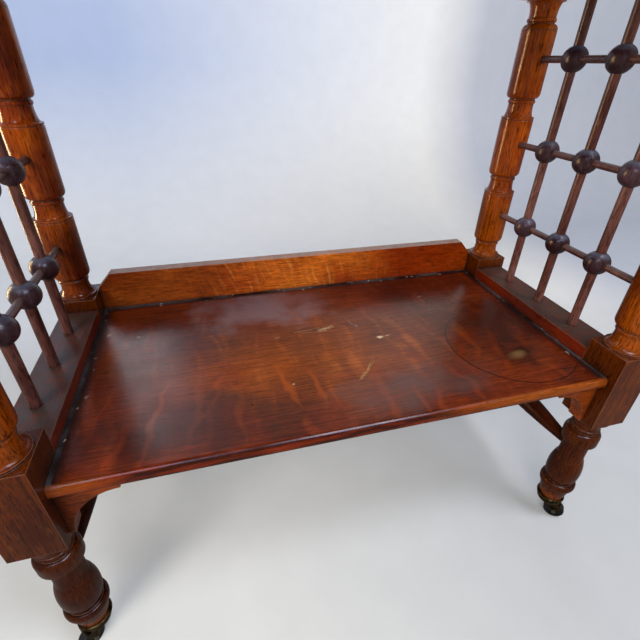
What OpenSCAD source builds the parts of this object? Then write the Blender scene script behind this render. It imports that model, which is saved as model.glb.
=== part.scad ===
// Rolling book stand: two tiers of stained quartersawn oak on four turned corner posts,
// with stick-and-ball lattices in both ends and brass cup casters under the feet.
// Millimetres, +Z up. The origin is on the floor under the middle, and the front faces -Y.

/* [Overall] */
// Clear width of the book bay between the side rails
bay_w = 600; // [420:1:900]
// Distance between the front and rear post axes
post_span = 288; // [270:1:420]
// Height of the lower shelf's top above the floor
shelf_z = 290; // [284:1:380]

/* [Boards] */
// Thickness of the lower shelf
shelf_t = 15; // [12:0.5:20]
// Distance from the front post axis forward to the shelf's front edge
shelf_nose = 16; // [12:0.5:24]
// Radius of the shelf's rounded front edge
shelf_round = 5; // [1:0.5:5.5]
// Depth of the shelf's end tongues in the side rails
shelf_tongue = 10; // [5:0.5:12]
// Thickness of the top board
top_t = 18; // [16:0.5:26]
// Overhang of the top board past the post blocks
top_overhang = 20; // [5:0.5:40]
// Radius of the top board's rounded edges
top_round = 6; // [2:0.5:7.5]

/* [Back rail] */
// Height of the back rail above the shelf
back_h = 54; // [40:1:90]
// Thickness of the back rail
back_t = 16; // [12:0.5:20]
// Length of the clipped upper corners along the rail
clip_w = 18; // [5:0.5:30]
// Height of the clipped upper corners
clip_h = 20; // [5:0.5:30]

/* [Side rails] */
// Width of the side rails
rail_w = 46; // [40:0.5:50]
// Height of the lower side rails above the shelf's top
rail_lip = 17; // [13:0.5:25]
// Depth of the lower side rails below the shelf's underside
rail_sole = 10; // [6:0.5:20]
// Height of the upper side rails
upper_rail_h = 20; // [17:0.5:28]
// Width of the rail tenons
tenon_w = 18; // [12:0.5:22]
// Length of the rail tenons
tenon_l = 14; // [8:0.5:20]
// Shoulder above and below each rail tenon
tenon_shoulder = 5; // [3:0.5:6]

/* [Post blocks] */
// Side of the square blocks
block = 50; // [49:0.5:60]
// Height of the lower block above the shelf's top
block_rise = 33; // [28:1:45]
// Depth of the lower block below the shelf's underside
block_drop = 61; // [60:0.5:68]
// Height of the upper block
top_block_h = 33; // [30:1:45]
// Radius of the round tenon on the post's top
peg_r = 9; // [6:0.5:14]
// Length of the round tenon on the post's top
peg_l = 11; // [6:0.5:13]

/* [Post turning] */
// Number of barrels, each with its row of balls
tiers = 3; // [2:1:4]
// Radius of the barrels
barrel_r = 22.5; // [21:0.5:24]
// Length of each barrel
barrel_h = 73; // [60:1:90]
// Radius of the lip that meets each block
flare_r = 24; // [22:0.5:24.5]
// Height of the necks between the barrels
neck_h = 34; // [32:1:44]
// Radius of the necks
neck_r = 17; // [13:0.5:18]
// Height of the lip at a neck's wide end
lip_h = 3; // [1.5:0.5:5]
// Step from the lip into the cove
lip_step = 1.5; // [0.5:0.5:3]
// Height of the cove's end above the neck's wide end
cove_h = 19; // [12:0.5:20]
// Radius of the ring above the cove
ring_r = 18.5; // [18.5:0.5:21]
// Height of the ring
ring_h = 5; // [3:0.5:6]
// Length of plain neck on each side of the ring
ring_gap = 1.5; // [0.5:0.5:2]
// Depth of the scribed line at each end of a barrel
scribe = 0.8; // [0.4:0.1:1.2]

/* [Feet] */
// Radius of the leg where the stretcher enters
leg_r = 16.5; // [14:0.5:18]
// Length of the short barrel under the lower block
leg_barrel_h = 16; // [10:1:24]
// Height of the rounded lower end of the short barrel
leg_shoulder_h = 4; // [2:0.5:8]
// Largest radius of the domed foot
dome_r = 22.3; // [20:0.1:24]
// Vertical half axis of the dome's ellipse
dome_axis = 43; // [36:1:46]
// Height of the dome's rounded skirt
skirt_h = 18; // [12:0.5:22]
// Radius of the groove under the dome
pinch_r = 19; // [16:0.5:20]
// Height of the groove under the dome
pinch_h = 4; // [2:0.5:6]
// Radius of the foot's collar
collar_r = 24; // [22.5:0.5:26]
// Height of the foot's collar
collar_h = 13; // [8:0.5:16]
// Radius of the tapered foot under the collar
foot_top_r = 21; // [19.5:0.5:22]
// Radius of the tapered foot at the caster cup
foot_low_r = 16.5; // [16:0.5:19]
// Height of the tapered foot
foot_h = 24; // [16:0.5:28]

/* [Lattice] */
// Diameter of the upright sticks
stick_d = 11.4; // [8:0.1:13]
// Distance between the upright sticks
stick_pitch = 67; // [50:0.5:75]
// Depth of the upright sticks in the rails
stick_in = 10; // [6:0.5:12]
// Diameter of the cross sticks
cross_d = 8.5; // [6:0.1:10]
// Depth of the cross sticks in the balls
cross_in = 6; // [3:0.5:7]
// Depth of the cross sticks in the posts
cross_post_in = 8; // [5:0.5:12]
// Diameter of the balls
ball_d = 30; // [28:0.5:36]
// Height of each ball row above the middle of its barrel
row_lift = 4; // [0:0.5:10]

/* [Stretchers and brackets] */
// Height of the stretcher axes above the tops of the domed feet
stretcher_rise = 12; // [9:0.5:18]
// Radius of the stretchers at their middle
stretcher_r = 16; // [10:0.5:22]
// Radius of the stretchers at their ends
stretcher_end_r = 7; // [5:0.5:7.5]
// Depth of the stretcher ends in the legs
stretcher_in = 12; // [8:0.5:14]
// Length of the corner brackets along the shelf
bracket_l = 55; // [52:0.5:80]
// Height of the corner brackets along the post
bracket_h = 59; // [50:0.5:60]
// Thickness of the corner brackets
bracket_t = 18; // [12:0.5:24]
// Height of a bracket's tip under the shelf
bracket_tip = 9; // [8:0.5:14]

/* [Casters] */
// Diameter of the wheels
wheel_d = 28; // [24:0.5:32]
// Width of the wheels
wheel_w = 12; // [8:0.5:14]
// Radius of the wheels' rounded edges
wheel_round = 2.5; // [1:0.25:3]
// Depth of the dished wheel sides
dish = 1; // [0.5:0.25:1.5]
// Radius of the wheel's hub
hub_r = 5; // [4.5:0.25:6]
// Width of the wheel's rim outside the dish
rim_w = 3.5; // [3:0.25:4.5]
// Distance from the swivel axis to the wheel axle
trail = 13; // [12:0.5:18]
// Turn of the casters at rest, from outwards at 0 to forwards at 90
caster_turn = 45; // [0:5:90]
// Radius of the wheel axles
axle_r = 2; // [1.5:0.25:2.5]
// Radius of the axles' rivet heads
rivet_r = 3.2; // [3:0.1:4]
// Height of the axles' rivet heads
rivet_h = 1; // [0.6:0.1:1.5]
// Thickness of the fork's crown
crown_t = 3; // [2:0.25:4]
// Radius of the fork's crown round the pivot
crown_r = 9.5; // [8:0.5:12]
// Thickness of the fork's cheeks
cheek_t = 2.2; // [1.5:0.1:3]
// Radius of the fork's cheeks round the axle
cheek_r = 5.5; // [4.5:0.25:7]
// Radius of the swivel pivots
pivot_r = 3.5; // [3:0.25:4]
// Radius of the pivots' lower heads
pivot_head_r = 5; // [4.5:0.25:5.5]
// Height of the pivots' lower heads
pivot_head_h = 2; // [1:0.25:2]
// Length of the pivots in the feet
pivot_in = 25; // [15:1:40]
// Height of the caster cups
cup_h = 14; // [13.5:0.5:18]
// Wall of the caster cups
cup_wall = 1.5; // [1:0.1:2.5]
// Thickness of the caster cups' base
cup_base = 3.5; // [1.5:0.25:4]
// Radius of the foot's tip in the cup
tip_r = 15; // [13:0.5:15.5]
// Radius of the bead on the cup's rim
bead_r = 2.6; // [1.5:0.1:2.9]

/* [Fasteners] */
// Radius of the wood screws
screw_r = 2; // [1.5:0.1:2.5]
// Radius of the screw heads
screw_head_r = 4; // [3.5:0.1:4.5]
// Height of the screw heads
screw_head_h = 2.8; // [2:0.1:3.5]
// Depth of the rail screws in the top board
top_screw_in = 10; // [6:0.5:12]
// Depth of the back rail screws in the back rail
back_screw_in = 20; // [12:0.5:30]
// Distance of the outer back rail screws from the rail's ends
back_screw_inset = 60; // [40:1:120]
// Number of back rail screws
back_screws = 4; // [2:1:6]
// Radius of the bracket nails
nail_r = 1; // [0.8:0.1:1.5]
// Depth of the bracket nails in what they hold to
nail_in = 9; // [6:0.5:10]
// Distance of the bracket nails from the bracket's ends
nail_inset = 9; // [7:0.5:12]
// Radius of the cup screws
cup_screw_r = 1.2; // [1:0.1:1.5]
// Depth of the cup screws in the foot
cup_screw_in = 7; // [5:0.5:9]
// Radius of the cup screws' heads
cup_screw_head_r = 2.2; // [2:0.1:2.6]
// Height of the cup screws' heads
cup_screw_head_h = 1.2; // [0.8:0.1:1.6]

/* [Fits] */
// Gap of glued and driven joints
glue_gap = 0.1; // [0.05:0.01:0.15]
// Radial gap of the pivots and axles that turn
run_gap = 0.08; // [0.05:0.01:0.1]
// Gap between the fork's crown and the cup
swivel_gap = 0.4; // [0.3:0.05:0.8]
// Gap between the wheel's tread and the fork's crown
crown_gap = 0.8; // [0.5:0.1:1.5]
// Gap between the wheel's sides and the fork's cheeks
cheek_gap = 0.5; // [0.3:0.1:1]

/* [Hidden] */
CORNERS = [["front_left", -1, -1], ["front_right", 1, -1], ["rear_left", -1, 1], ["rear_right", 1, 1]];
SIDES = [["left", -1], ["right", 1]];
STICK_NAMES = ["front", "middle", "rear"];
sticks = len(STICK_NAMES);
ROWS = [for (i = [0 : tiers - 1]) i];
STICKS = [for (i = [0 : sticks - 1]) i];
$fn = 96;
arc_steps = 8;
cut = 1;

oak_dark = "#4a2518";
oak_red = "#6b2f18";
oak_gold = "#96490f";
oak_brown = "#7a3d14";
lattice_brown = "#4a2c20";
brass = "#8a6a2e";
wheel_black = "#1c1917";
steel = "#77736c";

// Places of the posts, boards and rails
post_x = (bay_w + block) / 2;
post_y = post_span / 2;
rail_x = (bay_w + rail_w) / 2;
back_y = post_y + block / 2;
shelf_front_y = -post_y - shelf_nose;
shelf_low_z = shelf_z - shelf_t;
rail_len = post_span - block - 2 * glue_gap;
lower_rail_z = shelf_low_z - rail_sole;
lower_rail_h = rail_sole + shelf_t + rail_lip;

// Heights of the post's sections, from the caster up
axle_z = wheel_d / 2;
crown_z = wheel_d + crown_gap;
cup_z = crown_z + crown_t + swivel_gap;
foot_z = cup_z + cup_base;
cup_top_z = cup_z + cup_h;
collar_z = cup_top_z + foot_h;
pinch_z = collar_z + collar_h;
skirt_z = pinch_z + pinch_h;
dome_z = skirt_z + skirt_h;
dome_end = acos(leg_r / dome_r);
stretcher_z = dome_z + dome_axis * sin(dome_end) + stretcher_rise;
block_z = shelf_low_z - block_drop;
block_top_z = shelf_z + block_rise;
unit_h = neck_h + barrel_h;
top_block_z = block_top_z + tiers * unit_h + neck_h;
top_z = top_block_z + top_block_h;
upper_rail_z = top_z - upper_rail_h;
top_x = post_x + block / 2 + top_overhang;
top_y = back_y + top_overhang;
leg_barrel_z = block_z - neck_h - leg_barrel_h;
row_z = [for (i = ROWS) block_top_z + i * unit_h + neck_h + barrel_h / 2 + row_lift];
stick_y = [for (i = STICKS) (i - (sticks - 1) / 2) * stick_pitch];

// Places of the fasteners
back_screw_x = [for (i = [0 : back_screws - 1])
    (bay_w / 2 - back_screw_inset) * (2 * i / (back_screws - 1) - 1)];
back_screw_y = back_y - back_t / 2;
top_screw_y = [for (i = [0 : sticks - 2]) (stick_y[i] + stick_y[i + 1]) / 2];
bracket_arc = bracket_h - bracket_tip;
nail_tip_x = bracket_l - nail_inset;
nail_toe_z = bracket_h - nail_inset;
nail_tip_t = bracket_h - sqrt(bracket_arc ^ 2 - nail_inset ^ 2);
nail_toe_t = bracket_l - sqrt(bracket_arc ^ 2 - nail_inset ^ 2);
cup_screw_z = foot_z + (cup_h - cup_base) / 2 - bead_r;
cup_bore_r = tip_r + glue_gap;
cup_r = cup_bore_r + cup_wall;
fork_y = wheel_w / 2 + cheek_gap;

// Quarter ellipse that leaves p level and reaches q upright
function level_to_upright(p, q) = [for (i = [0 : arc_steps])
    let (a = 90 * i / arc_steps)
    [p[0] + (q[0] - p[0]) * sin(a), q[1] - (q[1] - p[1]) * cos(a)]];

// Half ellipse that bulges from radius r to radius peak between heights z and z + h
function bulge(r, peak, z, h) = [for (i = [0 : 2 * arc_steps])
    let (a = 90 * (i / arc_steps - 1))
    [r + (peak - r) * cos(a), z + h / 2 * (1 + sin(a))]];

// Coved neck from its wide end, of radius base_r at height 0, to a barrel at neck_h
ring_z = cove_h + ring_gap;
shoulder_z = ring_z + ring_h + ring_gap;
function neck(base_r) = concat(
    [[base_r - scribe, 0], [base_r, scribe], [base_r, lip_h]],
    level_to_upright([base_r - lip_step, lip_h], [neck_r, cove_h]),
    bulge(neck_r, ring_r, ring_z, ring_h),
    level_to_upright([neck_r, shoulder_z], [barrel_r, neck_h]));

function raised(points, z) = [for (p = points) [p[0], z + p[1]]];
function turned_over(points, z) = [for (i = [len(points) - 1 : -1 : 0]) [points[i][0], z - points[i][1]]];

foot_profile = concat(
    [[0, foot_z], [tip_r, foot_z], [tip_r, cup_top_z], [foot_low_r, cup_top_z]],
    bulge(foot_top_r, collar_r, collar_z, collar_h),
    [[pinch_r, pinch_z]],
    level_to_upright([pinch_r, skirt_z], [dome_r, dome_z]),
    [for (i = [1 : arc_steps]) let (a = dome_end * i / arc_steps)
        [dome_r * cos(a), dome_z + dome_axis * sin(a)]]);
leg_profile = concat(
    level_to_upright([leg_r, leg_barrel_z], [barrel_r, leg_barrel_z + leg_shoulder_h]),
    turned_over(neck(flare_r), block_z));
lattice_profile = [for (i = ROWS)
    each concat(raised(neck(i == 0 ? flare_r : barrel_r), block_top_z + i * unit_h),
        [[barrel_r, block_top_z + (i + 1) * unit_h - scribe]])];
top_profile = concat(
    [[barrel_r - scribe, top_block_z - neck_h]],
    turned_over(neck(flare_r), top_block_z),
    [[flare_r - scribe, top_z], [0, top_z]]);

module at_post(sx, sy) translate([sx * post_x, sy * post_y, 0]) children();

// Round hole or pin along Y, from y0 to y1
module along_y(r, y0, y1) translate([0, min(y0, y1), 0]) rotate([-90, 0, 0])
    cylinder(r = r, h = abs(y1 - y0));

// Round hole or pin along X, from x0 to x1
module along_x(r, x0, x1) translate([min(x0, x1), 0, 0]) rotate([0, 90, 0])
    cylinder(r = r, h = abs(x1 - x0));

// Board section in the YZ plane, from y0 to y1, with one or both edges rounded
module edge_section(y0, y1, t, r, both) {
    back = both ? r : 0;
    translate([y0 + r, 0]) square([y1 - y0 - r - back, t]);
    translate([y0, r]) square([y1 - y0, t - 2 * r]);
    for (y = both ? [y0 + r, y1 - r] : [y0 + r], z = [r, t - r]) translate([y, z]) circle(r);
}

// Extrudes a YZ section along X, centred, over a length
module along_board(length) translate([-length / 2, 0, 0]) rotate([90, 0, 90])
    linear_extrude(length) children();

// Turned corner post with its two square blocks, its sockets and its mortises
module corner_post(sx, sy) color(oak_brown) at_post(sx, sy) difference() {
    union() {
        rotate_extrude() polygon(concat(foot_profile, leg_profile, lattice_profile, top_profile));
        translate([-block / 2, -block / 2, block_z]) cube([block, block, block_top_z - block_z]);
        translate([-block / 2, -block / 2, top_block_z]) cube([block, block, top_block_h]);
        translate([0, 0, top_z - cut]) cylinder(r = peg_r, h = peg_l + cut);
    }
    rail_mortise(sx, sy, lower_rail_z, lower_rail_h);
    rail_mortise(sx, sy, upper_rail_z, upper_rail_h);
    for (z = row_z) translate([0, 0, z])
        along_y(cross_d / 2 + glue_gap, -sy * (barrel_r - cross_post_in - glue_gap), -sy * block / 2);
    translate([0, 0, stretcher_z])
        along_y(stretcher_end_r + glue_gap, -sy * (leg_r - stretcher_in - glue_gap), -sy * block / 2);
    translate([0, 0, foot_z - cut]) cylinder(r = pivot_r + glue_gap, h = pivot_in + glue_gap + cut);
    for (s = [-1, 1]) translate([0, 0, cup_screw_z])
        along_y(cup_screw_r + glue_gap, s * (tip_r - cup_screw_in - glue_gap), s * (tip_r + cut));
    translate([0, 0, shelf_low_z - nail_toe_z])
        along_x(nail_r + glue_gap, -sx * (block / 2 - nail_in - glue_gap), -sx * (block / 2 + cut));
}

// Mortise in a block for the tenon of the side rail that starts at height z
module rail_mortise(sx, sy, z, h) {
    depth = tenon_l + glue_gap + cut;
    translate([sx * (rail_x - post_x), -sy * (block / 2 + cut - depth / 2), z + h / 2])
        cube([tenon_w + 2 * glue_gap, depth, h - 2 * tenon_shoulder + 2 * glue_gap], center = true);
}

// Side rail between two blocks, with a tenon on each end
module side_rail(z, h) {
    translate([-rail_w / 2, -rail_len / 2, z]) cube([rail_w, rail_len, h]);
    translate([0, 0, z + h / 2])
        cube([tenon_w, rail_len + 2 * tenon_l, h - 2 * tenon_shoulder], center = true);
}

// Sockets for the upright sticks, from height z upwards over h
module stick_sockets(z, h) for (y = stick_y) translate([post_x - rail_x, y, z])
    cylinder(r = stick_d / 2 + glue_gap, h = h);

// Places its children at a side rail, with -X towards the book bay
module at_rail(sx) translate([sx * rail_x, 0, 0]) mirror([sx < 0 ? 1 : 0, 0, 0]) children();

// Lower side rail, grooved for the shelf's tongue and bored for the sticks
module lower_rail(sx) color(oak_red) at_rail(sx) difference() {
    side_rail(lower_rail_z, lower_rail_h);
    translate([-rail_w / 2 - cut, -rail_len / 2 - tenon_l - cut, shelf_low_z])
        cube([shelf_tongue + glue_gap + cut, rail_len + 2 * tenon_l + 2 * cut, shelf_t + glue_gap]);
    stick_sockets(shelf_z + rail_lip - stick_in - glue_gap, stick_in + glue_gap + cut);
}

// Upper side rail, bored for the sticks and for the screws into the top board
module upper_rail(sx) color(oak_red) at_rail(sx) difference() {
    side_rail(upper_rail_z, upper_rail_h);
    stick_sockets(upper_rail_z - cut, stick_in + glue_gap + cut);
    for (y = top_screw_y) translate([post_x - rail_x, y, upper_rail_z]) screw_hole(upper_rail_h);
}

// Countersunk hole for a screw driven upwards through a board of thickness t
module screw_hole(t) {
    translate([0, 0, -cut]) cylinder(r = screw_r + glue_gap, h = t + 2 * cut);
    translate([0, 0, -cut]) cylinder(r = screw_head_r + glue_gap, h = screw_head_h + glue_gap + cut);
}

// Pilot hole for the point of a screw, from height 0 upwards
module pilot_hole(depth) translate([0, 0, -cut]) cylinder(r = screw_r + glue_gap, h = depth + glue_gap + cut);

// Screw that passes a board of thickness t and enters the next by depth
module wood_screw(t, depth) {
    cylinder(r = screw_r, h = t + depth);
    cylinder(r = screw_head_r, h = screw_head_h);
}

// Lower shelf, with tongues in the side rails and a rounded front edge
module lower_shelf() color(oak_dark) difference() {
    union() {
        translate([0, 0, shelf_low_z]) along_board(bay_w - 2 * glue_gap)
            edge_section(shelf_front_y, back_y, shelf_t, shelf_round, false);
        translate([-bay_w / 2 - shelf_tongue, -rail_len / 2, shelf_low_z])
            cube([bay_w + 2 * shelf_tongue, rail_len, shelf_t]);
    }
    for (x = back_screw_x) translate([x, back_screw_y, shelf_low_z]) screw_hole(shelf_t);
    for (c = CORNERS) translate([c[1] * (bay_w / 2 - nail_tip_x), c[2] * post_y, shelf_low_z - cut])
        cylinder(r = nail_r + glue_gap, h = nail_in + glue_gap + cut);
}

// Top board, rounded on all four edges and bored for the post tenons and rail screws
module top_board() color(oak_dark) difference() {
    translate([0, 0, top_z]) intersection() {
        along_board(2 * top_x) edge_section(-top_y, top_y, top_t, top_round, true);
        rotate([0, 0, 90]) along_board(2 * top_y) edge_section(-top_x, top_x, top_t, top_round, true);
    }
    for (c = CORNERS) at_post(c[1], c[2]) translate([0, 0, top_z - cut])
        cylinder(r = peg_r + glue_gap, h = peg_l + glue_gap + cut);
    for (s = SIDES, y = top_screw_y) translate([s[1] * post_x, y, top_z]) pilot_hole(top_screw_in);
}

// Back rail that stands on the shelf between the rear blocks, with clipped upper corners
module back_rail() color(oak_gold) difference() {
    half = bay_w / 2 - glue_gap;
    translate([0, back_y, shelf_z]) rotate([90, 0, 0]) linear_extrude(back_t) polygon([
        [-half, 0], [half, 0], [half, back_h - clip_h], [half - clip_w, back_h],
        [clip_w - half, back_h], [-half, back_h - clip_h]]);
    for (x = back_screw_x) translate([x, back_screw_y, shelf_z]) pilot_hole(back_screw_in);
}

// Screws from under the shelf into the back rail
module back_rail_screws() color(steel) for (x = back_screw_x)
    translate([x, back_screw_y, shelf_low_z]) wood_screw(shelf_t, back_screw_in);

// Screws through the upper side rails into the top board
module top_screws() color(steel) for (s = SIDES, y = top_screw_y)
    translate([s[1] * post_x, y, upper_rail_z]) wood_screw(upper_rail_h, top_screw_in);

// Upright stick of the lattice, glued into both rails
module upright(sx, i) color(lattice_brown)
    translate([sx * post_x, stick_y[i], shelf_z + rail_lip - stick_in])
    cylinder(r = stick_d / 2, h = upper_rail_z - shelf_z - rail_lip + 2 * stick_in);

// One row of balls, bored for the upright sticks and drilled for the cross sticks
module ball_row(sx, i) color(lattice_brown) for (y = stick_y) translate([sx * post_x, y, row_z[i]])
    difference() {
        sphere(d = ball_d);
        cylinder(r = stick_d / 2 + glue_gap, h = ball_d + 2 * cut, center = true);
        for (s = [-1, 1])
            along_y(cross_d / 2 + glue_gap, s * (ball_d / 2 - cross_in - glue_gap), s * (ball_d / 2 + cut));
    }

// One row of short cross sticks, from post to ball, ball to ball and ball to post
module cross_row(sx, i) color(lattice_brown) translate([sx * post_x, 0, row_z[i]]) {
    for (j = [0 : sticks - 2])
        along_y(cross_d / 2, stick_y[j] + ball_d / 2 - cross_in, stick_y[j + 1] - ball_d / 2 + cross_in);
    for (s = [-1, 1])
        along_y(cross_d / 2, s * (stick_y[sticks - 1] + ball_d / 2 - cross_in),
            s * (post_y - barrel_r + cross_post_in));
}

// Turned end stretcher between the front and rear legs, fullest at its middle
module stretcher(sx) color(oak_brown) translate([sx * post_x, 0, stretcher_z]) rotate([-90, 0, 0])
    rotate_extrude() polygon(concat(
        [[0, -post_y + leg_r - stretcher_in], [stretcher_end_r, -post_y + leg_r - stretcher_in]],
        [for (i = [0 : 4 * arc_steps]) let (u = i / (2 * arc_steps) - 1)
            [stretcher_end_r + (stretcher_r - stretcher_end_r) * cos(90 * u), u * (post_y - leg_r)]],
        [[stretcher_end_r, post_y - leg_r + stretcher_in], [0, post_y - leg_r + stretcher_in]]));

// Places its children in a bracket's corner: X along the shelf, Z up, Y through its thickness
module at_bracket(sx, sy) translate([sx * bay_w / 2, sy * post_y, shelf_low_z])
    mirror([sx > 0 ? 1 : 0, 0, 0]) children();

// Concave corner bracket between a post block and the shelf's underside
module bracket(sx, sy) color(oak_brown) at_bracket(sx, sy) difference() {
    translate([0, bracket_t / 2, 0]) rotate([90, 0, 0]) linear_extrude(bracket_t) difference() {
        translate([0, -bracket_h]) square([bracket_l, bracket_h]);
        translate([bracket_l, -bracket_h]) circle(bracket_arc);
    }
    translate([nail_tip_x, 0, -bracket_h]) cylinder(r = nail_r + glue_gap, h = bracket_h + cut);
    translate([0, 0, -nail_toe_z]) along_x(nail_r + glue_gap, -cut, bracket_l);
}

// Nails through each bracket, one into the shelf and one into the post
module bracket_nails() color(steel) for (c = CORNERS) at_bracket(c[1], c[2]) {
    translate([nail_tip_x, 0, -nail_tip_t]) cylinder(r = nail_r, h = nail_tip_t + nail_in);
    translate([0, 0, -nail_toe_z]) along_x(nail_r, -nail_in, nail_toe_t);
}

// Bowl-shaped brass cup on the foot's tip, with a beaded rim
module caster_cup(sx, sy) color(brass) at_post(sx, sy) difference() {
    translate([0, 0, cup_z]) rotate_extrude() polygon(concat(
        [[0, 0]],
        level_to_upright([cup_r - cup_base, 0], [cup_r, cup_base]),
        bulge(cup_r, cup_r + bead_r, cup_h - 2 * bead_r - glue_gap, 2 * bead_r),
        [[0, cup_h - glue_gap]]));
    translate([0, 0, foot_z]) cylinder(r = cup_bore_r, h = cup_h);
    translate([0, 0, cup_z - cut]) cylinder(r = pivot_r + glue_gap, h = cup_base + 2 * cut);
    for (s = [-1, 1]) translate([0, 0, cup_screw_z])
        along_y(cup_screw_r + glue_gap, s * tip_r / 2, s * (cup_r + cut));
}

// Screws through the cups' walls into the feet
module cup_screws() color(brass) for (c = CORNERS, s = [-1, 1]) at_post(c[1], c[2])
    translate([0, 0, cup_screw_z]) {
        along_y(cup_screw_r, s * (tip_r - cup_screw_in), s * (cup_r + glue_gap));
        along_y(cup_screw_head_r, s * (cup_r + glue_gap), s * (cup_r + glue_gap + cup_screw_head_h));
    }

// Steel pivot, driven into the foot through the cup, with a head under the fork's crown
module caster_pivot(sx, sy) color(steel) at_post(sx, sy) {
    translate([0, 0, crown_z - run_gap - pivot_head_h]) cylinder(r = pivot_head_r, h = pivot_head_h);
    translate([0, 0, crown_z - run_gap - pivot_head_h])
        cylinder(r = pivot_r, h = foot_z + pivot_in - crown_z + run_gap + pivot_head_h);
}

// Places its children at a caster, with its trail along X turned to its place at rest
module at_caster(sx, sy) at_post(sx, sy)
    rotate([0, 0, sx > 0 ? -caster_turn : caster_turn - 180]) children();

// Brass fork: a crown bored for the pivot and two cheeks bored for the axle
module caster_fork(sx, sy) color(brass) at_caster(sx, sy) difference() {
    union() {
        translate([0, 0, crown_z]) cylinder(r = crown_r, h = crown_t);
        translate([0, -fork_y - cheek_t, crown_z])
            cube([trail + cheek_r, 2 * (fork_y + cheek_t), crown_t]);
        for (s = [-1, 1]) translate([0, s > 0 ? fork_y + cheek_t : -fork_y, 0])
            rotate([90, 0, 0]) linear_extrude(cheek_t) {
                translate([trail, axle_z]) circle(cheek_r);
                polygon([[trail - cheek_r, axle_z], [trail + cheek_r, axle_z],
                    [trail + cheek_r, crown_z + crown_t], [0, crown_z + crown_t], [0, crown_z]]);
            }
    }
    translate([0, 0, crown_z - cut]) cylinder(r = pivot_r + run_gap, h = crown_t + 2 * cut);
    translate([trail, 0, axle_z])
        along_y(axle_r + glue_gap / 2, -fork_y - cheek_t - cut, fork_y + cheek_t + cut);
}

// Steel axle with a rivet head outside each cheek
module caster_axle(sx, sy) color(steel) at_caster(sx, sy) translate([trail, 0, axle_z]) {
    along_y(axle_r, -fork_y - cheek_t, fork_y + cheek_t);
    for (s = [-1, 1]) along_y(rivet_r, s * (fork_y + cheek_t), s * (fork_y + cheek_t + rivet_h));
}

// Dished wheel with a rounded tread, bored for the axle
module caster_wheel(sx, sy) color(wheel_black) at_caster(sx, sy) translate([trail, 0, axle_z])
    rotate([-90, 0, 0]) difference() {
        rotate_extrude() {
            square_half = wheel_w / 2 - wheel_round;
            translate([0, -wheel_w / 2]) square([wheel_d / 2 - wheel_round, wheel_w]);
            translate([0, -square_half]) square([wheel_d / 2, 2 * square_half]);
            for (s = [-1, 1]) translate([wheel_d / 2 - wheel_round, s * square_half]) circle(wheel_round);
        }
        for (s = [-1, 1]) translate([0, 0, s * (wheel_w / 2 - dish / 2 + cut / 2)]) difference() {
            cylinder(r = wheel_d / 2 - rim_w, h = dish + cut, center = true);
            cylinder(r = hub_r, h = dish + 2 * cut, center = true);
        }
        cylinder(r = axle_r + run_gap, h = wheel_w + 2 * cut, center = true);
    }

lower_shelf();
top_board();
back_rail();
back_rail_screws();
top_screws();
bracket_nails();
cup_screws();
for (s = SIDES) {
    lower_rail(s[1]);
    upper_rail(s[1]);
    stretcher(s[1]);
    for (i = STICKS)
        upright(s[1], i);
    for (i = ROWS) {
        ball_row(s[1], i);
        cross_row(s[1], i);
    }
}
for (c = CORNERS) {
    corner_post(c[1], c[2]);
    bracket(c[1], c[2]);
    caster_cup(c[1], c[2]);
    caster_pivot(c[1], c[2]);
    caster_fork(c[1], c[2]);
    caster_axle(c[1], c[2]);
    caster_wheel(c[1], c[2]);
}
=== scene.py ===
import math

import bpy
from mathutils import Matrix, Vector


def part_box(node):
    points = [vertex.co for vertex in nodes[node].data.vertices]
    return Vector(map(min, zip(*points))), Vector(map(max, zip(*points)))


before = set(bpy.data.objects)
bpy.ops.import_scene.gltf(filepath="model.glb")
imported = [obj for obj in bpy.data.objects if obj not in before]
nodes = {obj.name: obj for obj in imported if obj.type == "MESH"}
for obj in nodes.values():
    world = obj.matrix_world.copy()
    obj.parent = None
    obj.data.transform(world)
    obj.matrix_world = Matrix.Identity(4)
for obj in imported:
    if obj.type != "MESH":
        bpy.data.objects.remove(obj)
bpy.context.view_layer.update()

# Camera
# It stands before the left half of the shelf, at about the height of a seated eye,
# and looks down and to the right across the shelf.
camera_place = Vector((-0.1333, -0.4276, 0.6018))
camera_turn = math.radians(15.69)
camera_tilt = math.radians(32.255)
camera_roll = math.radians(1.2)
camera_data = bpy.data.cameras.new("camera")
camera_data.sensor_width = 36
camera_data.lens = 22.878
camera_data.clip_start = 0.01
camera = bpy.data.objects.new("camera", camera_data)
camera.matrix_world = (
    Matrix.Translation(camera_place)
    @ Matrix.Rotation(-camera_turn, 4, "Z")
    @ Matrix.Rotation(math.radians(90) - camera_tilt, 4, "X")
    @ Matrix.Rotation(camera_roll, 4, "Z")
)
bpy.context.scene.collection.objects.link(camera)
bpy.context.scene.camera = camera
bpy.context.scene.view_settings.view_transform = "Standard"


# Studio
# A pale floor that sweeps up into a pale wall, both of matt paint, under soft lamps, with painted shade and
# light graded across them.
# In the gloss of the wood alone, the floor is dark, and the wall has a grey patch and a dark far end, all
# painted reflections, so that the wall veils only the left and the back of the shelf, and the edges keep
# their colour.
def paint(code):
    """Linear colour of an sRGB hex code."""
    shares = [int(code[i:i + 2], 16) / 255 for i in (1, 3, 5)]
    return [s / 12.92 if s <= 0.04045 else ((s + 0.055) / 1.055) ** 2.4 for s in shares] + [1]


def add(tree, kind, inputs, **settings):
    """Adds a shader node with its settings, and sets or links its inputs."""
    made = tree.nodes.new("ShaderNode" + kind)
    for key, value in settings.items():
        setattr(made, key, value)
    for key, value in inputs.items():
        if isinstance(value, bpy.types.NodeSocket):
            tree.links.new(value, made.inputs[key])
        else:
            made.inputs[key].default_value = value
    return made


def empty_material(name):
    """A new material with a bare node tree, and its tree."""
    material = bpy.data.materials.new(name)
    material.use_nodes = True
    material.node_tree.nodes.clear()
    return material, material.node_tree


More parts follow.
